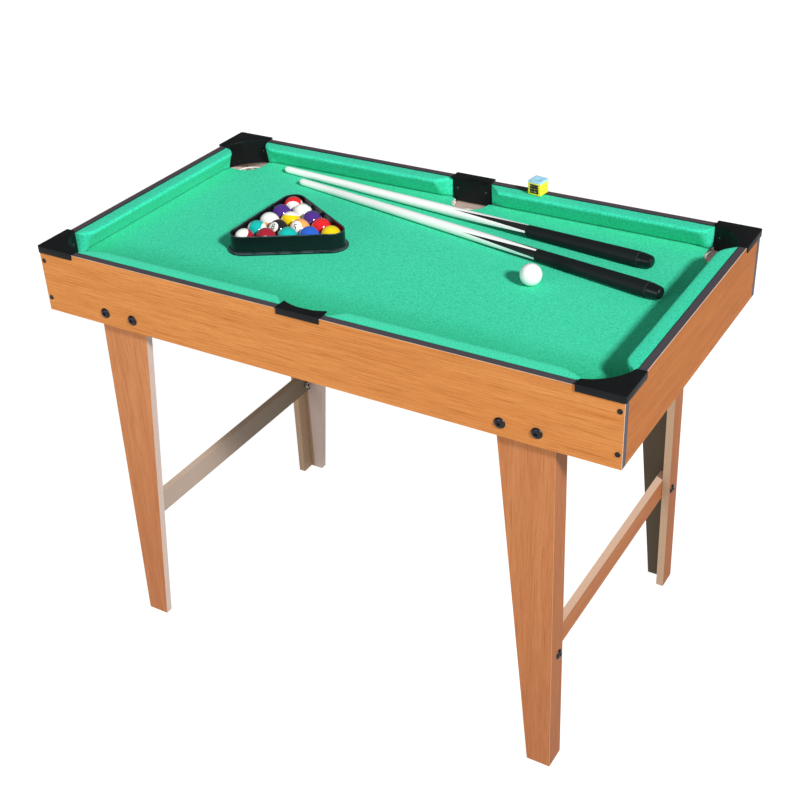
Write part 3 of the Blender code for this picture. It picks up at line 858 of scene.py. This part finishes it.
def corner_arc():
    """The corner cap's concave edge in the +X +Y corner: its centre and radius."""
    sagitta = 0.0096
    chord = CORNER_CAP * sqrt(2)
    radius = (chord ** 2 / 4 + sagitta ** 2) / (2 * sagitta)
    inset = CORNER_CAP / 2 + (radius - sagitta) / sqrt(2)
    return INNER_X - inset, INNER_Y - inset, radius


def wing_screws(end, side):
    """Two screws in the corner cap's liner, square to its face."""
    centre_x, centre_y, radius = corner_arc()
    places = []
    for angle in (radians(45 - 22.5), radians(45 + 22.5)):
        way = Vector((cos(angle), sin(angle), 0))
        point = Vector((centre_x, centre_y, RIM - CAP_SCREW_DROP)) + radius * way
        places.append(facing((end * point.x, side * point.y, point.z), (-end * way.x, -side * way.y, 0)))
    return places


# Play set

def cue_look(name, turn):
    """White lacquer with four black spear points, running into the black grip."""
    build = Nodes(name, 0.16, Coat_Weight=0.4, Coat_Roughness=0.05)
    place = build.object()
    x, y, z = build.split(place)
    angle = build.math("ADD", build.math("ARCTAN2", y, x), turn)
    quarter = build.math("ABSOLUTE", build.math("WRAP", angle, pi / 4, -pi / 4))
    slope = (pi / 4 - 0.16) / (CUE_SPEARS - CUE_JOINT)
    spread = build.math("MULTIPLY", build.math("SUBTRACT", CUE_SPEARS, z), slope)
    black = build.math("LESS_THAN", quarter, spread)
    black = build.math("MAXIMUM", black, build.math("LESS_THAN", z, CUE_JOINT + 0.001))
    dust = build.noise(place, 300, 2)
    white = build.mix(dust, (0.95, 0.95, 0.94), (0.91, 0.91, 0.90))
    dark = build.mix(dust, (0.006, 0.007, 0.008), (0.012, 0.013, 0.015))
    build.colour(build.mix(black, white, dark))
    build.bump(dust, 0.0001, 0.1)
    return build.material


def grip_look():
    """Satin black, with a paler ring and a glossier rubber bumper below it."""
    build = Nodes("cue_grip", 0.6, Specular_IOR_Level=0.25)
    place = build.object()
    z = build.split(place)[2]
    dust = build.noise(place, 500, 3)
    colour = build.mix(dust, (0.002, 0.004, 0.005), (0.006, 0.010, 0.011))
    ring = build.math("MULTIPLY", build.step(z, 0.0200, 0.0203), build.step(z, 0.0216, 0.0213))
    build.colour(build.mix(ring, colour, (0.022, 0.028, 0.032)))
    shine = build.step(z, 0.0202, 0.0198)
    build.roughness(build.mix(shine, (0.6, 0.6, 0.6), (0.34, 0.34, 0.34)))
    build.bump(dust, 0.0001, 0.06)
    return build.material


# Heights on a cue that stands on its butt: its tip, the shaft's foot, the spear points' tips,
# the bumper's top; and the length of the rounded tip
CUE_LENGTH = 0.684
CUE_JOINT = 0.205
CUE_SPEARS = 0.338
CUE_BUMPER = 0.020
CUE_TIP = 0.012
# Each cue's butt end, its heading, and how far a white prong lies above the line to the viewer
CUES = {"cue_1": ((0.3420, 0.1320), radians(173.7), radians(-19)),
        "cue_2": ((0.3870, 0.0495), radians(169.5), radians(42))}


def spear_turn(place, above):
    """The turn of the spear pattern which puts a white prong there."""
    into = place.to_3x3().inverted()
    view = into @ (CAMERA_AT - place @ Vector((0, 0, CUE_SPEARS)))
    up = into @ Vector((0, 0, 1))
    toward = atan2(view.y, view.x)
    way = 1 if sin(atan2(up.y, up.x) - toward) > 0 else -1
    return pi / 4 - toward - way * above


def make_cues():
    tip, joint, thick = 0.0057, 0.0090, 0.0113
    rise = (tip - thick) / (CUE_LENGTH - CUE_TIP - CUE_BUMPER)
    level = sqrt(1 - rise ** 2)
    grip = grip_look()
    shaft = [(0.0012, CUE_LENGTH - 0.0001), (0.0030, CUE_LENGTH - 0.0005), (0.0044, CUE_LENGTH - 0.0016),
             (0.0053, CUE_LENGTH - 0.0036), (0.0056, CUE_LENGTH - 0.0070), (tip, CUE_LENGTH - CUE_TIP),
             (joint, CUE_JOINT + GAP), (0.0040, CUE_JOINT + GAP)]
    butt = [(0.0040, CUE_JOINT), (joint, CUE_JOINT), (thick, 0.0210), (0.0112, 0.0204), (0.0105, 0.0202),
            (0.0105, 0.0199), (0.0110, 0.0196), (0.0110, 0.0150), (0.0106, 0.0138), (0.0094, 0.0046),
            (0.0086, 0.0018), (0.0070, 0.0004), (0.0040, 0.0)]
    for name, ((x, y), heading, above) in CUES.items():
        along = Vector((level * cos(heading), level * sin(heading), rise))
        start = BED + GAP + thick / level - CUE_BUMPER * rise
        place = facing((x, y, start), along)
        look = cue_look(f"{name}_lacquer", spear_turn(place, above))
        for part, profile, material, slot in (("shaft", shaft, look, "white_lacquer"),
                                              ("butt", butt, grip, "black_grip")):
            piece = add(f"turned_{name}_{part}", turned_mesh(f"{name}_{part}", profile, 48, 25), material,
                        name)
            piece.matrix_world = place
            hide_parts(f"{name}_{part}")


# Ball colours, and for each ball the directions of its stripe's pole and of its number, as
# shares of the viewer's right, of up and of towards the viewer
YELLOW = (0.93, 0.66, 0.0)
BLUE = (0.02, 0.12, 0.62)
RED = (0.80, 0.015, 0.02)
PURPLE = (0.075, 0.025, 0.25)
PALE_ORANGE = (0.96, 0.46, 0.12)
TEAL = (0.0, 0.50, 0.44)
MAROON = (0.38, 0.01, 0.03)
BLACK = (0.012, 0.012, 0.012)
BALLS = {
    1: (YELLOW, None, (-0.72, -0.35, 0.45)),
    2: (BLUE, None, (0.88, -0.30, 0.20)),
    3: (RED, None, (-0.4, -0.6, -0.7)),
    4: (PURPLE, None, (0.93, 0.05, -0.10)),
    5: (PALE_ORANGE, None, (-0.44, 0.05, 0.90)),
    6: (TEAL, None, (0.62, 0.62, -0.20)),
    7: (MAROON, None, (0.02, -0.40, 0.92)),
    8: (BLACK, None, (-0.45, 0.18, 0.87)),
    9: (YELLOW, (0.08, 0.99, 0.09), (0.9, -0.4, -0.2)),
    10: (BLUE, (-0.25, 0.20, 0.95), (0.9, 0.1, -0.4)),
    11: (RED, (0.0, -0.53, 0.85), (0.93, 0.20, 0.12)),
    12: (PURPLE, (-0.63, 0.68, -0.37), (-0.5, -0.3, -0.8)),
    13: (PALE_ORANGE, (0.0, 0.82, 0.57), (0.9, -0.2, -0.4)),
    14: (TEAL, (0.97, -0.15, 0.20), (-0.2, -0.3, -0.9)),
    15: (MAROON, (-0.50, 0.50, 0.70), (0.7, -0.6, -0.2)),
}
# Where a stripe ends, as the cosine of the angle from its pole, if not at 0.57
STRIPE_END = {10: 0.42, 12: 0.80, 13: 0.42}


def seen(direction):
    return (CAMERA_AXES @ Vector(direction)).normalized()


def ball_look(number, tint, pole, badge):
    build = Nodes(f"ball_{number:02d}_resin", 0.07, Coat_Weight=0.8, Coat_Roughness=0.05)
    way = build.vector("NORMALIZE", build.object())
    cloud = build.noise(build.object(), 90, 2)
    ivory = build.mix(cloud, (0.93, 0.92, 0.88), (0.88, 0.87, 0.82))
    colour = build.mix(cloud, tint, tuple(0.85 * c for c in tint))
    if pole is not None:
        off_band = build.math("ABSOLUTE", build.vector("DOT_PRODUCT", way, tuple(pole)))
        end = STRIPE_END.get(number, 0.57)
        colour = build.mix(build.step(off_band, end - 0.005, end + 0.005), colour, ivory)
    on_badge = build.vector("DOT_PRODUCT", way, tuple(badge))
    rim = cos(radians(40 if number == 5 else 29))
    build.colour(build.mix(build.step(on_badge, rim - 0.005, rim), colour, ivory))
    return build.material


def ivory_look():
    build = Nodes("cue_ball_resin", 0.1, Coat_Weight=0.3, Coat_Roughness=0.03)
    cloud = build.noise(build.object(), 90, 2)
    build.colour(build.mix(cloud, (0.94, 0.94, 0.92), (0.90, 0.90, 0.88)))
    return build.material


def digits(number, radius, badge):
    """The ball's number, raised a hair and wrapped on the sphere round the badge's direction."""
    text = bpy.data.curves.new("digits", "FONT")
    text.body = str(number)
    text.size = 0.0135 if number < 10 else 0.0105
    text.align_x = "CENTER"
    text.align_y = "CENTER"
    holder = bpy.data.objects.new("digits", text)
    bpy.context.scene.collection.objects.link(holder)
    depsgraph = bpy.context.evaluated_depsgraph_get()
    mesh = bpy.data.meshes.new_from_object(holder.evaluated_get(depsgraph))
    bpy.data.objects.remove(holder, do_unlink=True)
    bm = bmesh.new()
    bm.from_mesh(mesh)
    bmesh.ops.remove_doubles(bm, verts=bm.verts, dist=1e-6)
    bmesh.ops.triangulate(bm, faces=bm.faces)
    long = [edge for edge in bm.edges if edge.calc_length() > 0.0015]
    bmesh.ops.subdivide_edges(bm, edges=long, cuts=2)
    bmesh.ops.triangulate(bm, faces=bm.faces)
    across = Vector((0, 0, 1)).cross(badge).normalized()
    upward = badge.cross(across)
    for vert in bm.verts:
        x, y = vert.co.x, vert.co.y
        reach = sqrt(x * x + y * y)
        angle = reach / radius
        side = (across * x + upward * y) / max(reach, 1e-9)
        vert.co = (badge * cos(angle) + side * sin(angle)) * (radius + 0.00004)
    return bm


def sphere_mesh(name, radius):
    bm = bmesh.new()
    bmesh.ops.create_icosphere(bm, subdivisions=4, radius=radius)
    mesh = finished(bm, name, 0)
    mesh.shade_smooth()
    return mesh


def make_balls(ink, ivory):
    low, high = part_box("cue_ball")
    radius = (high[2] - low[2]) / 2
    centre = middle(low, high)
    mesh = sphere_mesh("cue_ball", radius)
    piece = add("polished_cue_ball", mesh, ivory, "cue_ball")
    piece.location = centre
    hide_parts("cue_ball")
    for number, (tint, pole, badge) in BALLS.items():
        node = f"ball_{number:02d}"
        centre = middle(*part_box(node))
        pole = seen(pole) if pole else None
        badge = seen(badge)
        if pole is not None:
            badge = (badge - pole * badge.dot(pole)).normalized()
        mesh = sphere_mesh(node, radius)
        bm = digits(number, radius, badge)
        marks = bpy.data.meshes.new("marks")
        for face in bm.faces:
            face.smooth = True
        bm.to_mesh(marks)
        bm.clear()
        bm.from_mesh(mesh)
        bm.from_mesh(marks)
        bm.to_mesh(mesh)
        bm.free()
        piece = add(f"polished_{node}", mesh, ball_look(number, tint, pole, badge), node)
        mesh.materials.append(ink)
        for polygon in mesh.polygons[-len(marks.polygons):]:
            polygon.material_index = 1
        piece.location = centre
        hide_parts(node)


def chalk_look():
    """Blue chalk on top; a yellow paper wrap with dark panels round the sides."""
    build = Nodes("chalk_wrap", 0.85)
    place = build.object()
    x, y, z = build.split(place)
    grit = build.noise(place, 900, 3)
    blue = build.ramp(grit, (0.3, (0.22, 0.55, 0.80)), (0.7, (0.52, 0.82, 0.95)))
    paper = build.mix(grit, (0.93, 0.86, 0.04), (0.86, 0.80, 0.03))
    nx, ny = build.split(build.coordinate("Normal"))[:2]
    on_y = build.math("GREATER_THAN", build.math("ABSOLUTE", ny), 0.7)
    wide = build.math("MULTIPLY", build.math("LESS_THAN", build.math("ABSOLUTE", x), 0.0078), on_y)
    tall = build.math("LESS_THAN", build.math("ABSOLUTE", build.math("SUBTRACT", z, 0.0098)), 0.0074)
    panel = build.math("MULTIPLY", wide, tall)
    lines = build.math("GREATER_THAN", build.math("SINE", build.math("MULTIPLY", z, 1450.0)), 0.74)
    dashes = build.math("GREATER_THAN", build.noise(place, (520.0, 520.0, 300.0), 1), 0.52)
    ink = build.mix(build.math("MULTIPLY", lines, dashes), (0.02, 0.02, 0.015), (0.75, 0.70, 0.10))
    colour = build.mix(panel, paper, ink)
    level = build.math("SUBTRACT", z, 0.0102)
    squares = build.math("ADD", build.math("MULTIPLY", y, y), build.math("MULTIPLY", level, level))
    away = build.math("SUBTRACT", build.math("SQRT", squares), 0.0048)
    ring = build.math("LESS_THAN", build.math("ABSOLUTE", away), 0.0005)
    on_x = build.math("GREATER_THAN", build.math("ABSOLUTE", nx), 0.7)
    colour = build.mix(build.math("MULTIPLY", ring, on_x), colour, (0.55, 0.50, 0.03))
    top = build.math("GREATER_THAN", z, 0.0190)
    build.colour(build.mix(top, colour, blue))
    build.bump(grit, 0.0003, 0.4)
    return build.material


def rack_look():
    """Glossy black plastic; paler lines on the rim and the flange's edge stand in for glints."""
    build = Nodes("rack_plastic", 0.20, Specular_IOR_Level=0.32)
    place = build.object()
    height = build.math("SUBTRACT", build.split(place)[2], BED)
    cloud = build.noise(place, 60, 3)
    colour = build.mix(cloud, (0.002, 0.005, 0.006), (0.004, 0.008, 0.009))
    rim = build.step(height, 0.0272, 0.0280)
    flange = build.math("MULTIPLY", build.step(height, 0.0019, 0.0024), build.step(height, 0.0036, 0.0032))
    glint = build.math("MULTIPLY", build.math("MAXIMUM", rim, flange), build.step(cloud, 0.30, 0.55))
    build.colour(build.mix(glint, colour, (0.055, 0.085, 0.095)))
    build.bump(cloud, 0.0002, 0.05)
    return build.material


CHALK_ANGLE = radians(-8)


def in_order(bm):
    """The same faces, sorted by place: the chalk's bevel leaves their order to chance."""
    loops = [[(tuple(round(c, 6) for c in vert.co), tuple(vert.co)) for vert in face.verts]
             for face in bm.faces]
    bm.free()
    ordered = bmesh.new()
    made = {}
    for loop in sorted(loops, key=sorted):
        for key, point in loop:
            if key not in made:
                made[key] = ordered.verts.new(point)
        ordered.faces.new([made[key] for key, point in loop])
    return ordered


def make_chalk():
    """A cube with rounded edges and a shallow hollow worn in its top."""
    low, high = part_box("chalk_cube")
    size = high[2] - low[2]
    bm = bmesh.new()
    bmesh.ops.create_cube(bm, size=1)
    centre = middle(low, high)
    place = Matrix.LocRotScale((0, 0, size / 2), None, (size, size, size))
    bmesh.ops.transform(bm, matrix=place, verts=bm.verts)
    bmesh.ops.bevel(bm, geom=bm.edges[:], offset=0.0007, segments=3, profile=0.5, affect="EDGES")
    top = max(bm.faces, key=lambda face: face.calc_center_median().z)
    bmesh.ops.inset_region(bm, faces=[top], thickness=0.0022, use_even_offset=True)
    top = max((f for f in bm.faces if f.normal.z > 0.99), key=lambda f: -abs(f.calc_center_median().x)
              - abs(f.calc_center_median().y) + f.calc_area())
    bmesh.ops.poke(bm, faces=[top])
    middle_vert = min((v for v in bm.verts if v.co.z > 0.9 * size), key=lambda v: v.co.xy.length)
    middle_vert.co.z -= 0.0022
    bmesh.ops.subdivide_edges(bm, edges=[e for e in bm.edges if middle_vert in e.verts], cuts=3)
    mesh = finished(in_order(bm), "chalk", 30)
    piece = add("wrapped_chalk", mesh, chalk_look(), "chalk")
    piece.location = (centre.x, centre.y, low[2])
    piece.rotation_euler.z = CHALK_ANGLE
    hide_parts("chalk_cube")


make_studio()
dress_boards()

# The height up to which the cushions' felt is darker: painted shade where they meet the bed
seam_shade_top = BED + 0.0022
make_bed_cloth(felt("green_felt", (0.052, 0.700, 0.416), 0.02, 0.22))
# The front cushions' felt is a paler copy of the cushions' felt: painted light on them
make_cushions(felt("cushion_felt", (0.042, 0.690, 0.425), 0.03, 0.85, 1.15, seam_shade_top),
              felt("lit_front_cushion_felt", (0.058, 0.745, 0.450), 0.03, 0.30, seam=seam_shade_top))
make_nets(cord_look())

cap_plastic = plastic("cap_plastic", (0.0035, 0.0045, 0.005), 0.55, 0.14)
for side_name in SIDES.values():
    caps = [f"side_cap_{side_name}"] + [f"corner_cap_{side_name}_{name}" for name in ENDS.values()]
    for cap in caps:
        bevelled(cap, f"moulded_{cap}", 0.0006, 2, cap_plastic)

black_oxide = metal("black_oxide", (0.022, 0.020, 0.024), 0.38, 0.7)
zinc_plate = metal("zinc_plate", (0.62, 0.62, 0.60), 0.35, 1.0)
make_fasteners(black_oxide, zinc_plate, metal("dull_steel", (0.16, 0.16, 0.16), 0.5, 0.6))
make_cues()
bevelled("triangle_rack", "moulded_rack", 0.0011, 3, rack_look(), "triangle_rack", 40)
make_balls(plastic("number_ink", (0.010, 0.010, 0.012), 0.2, 0.5, 0.02), ivory_look())
make_chalk()
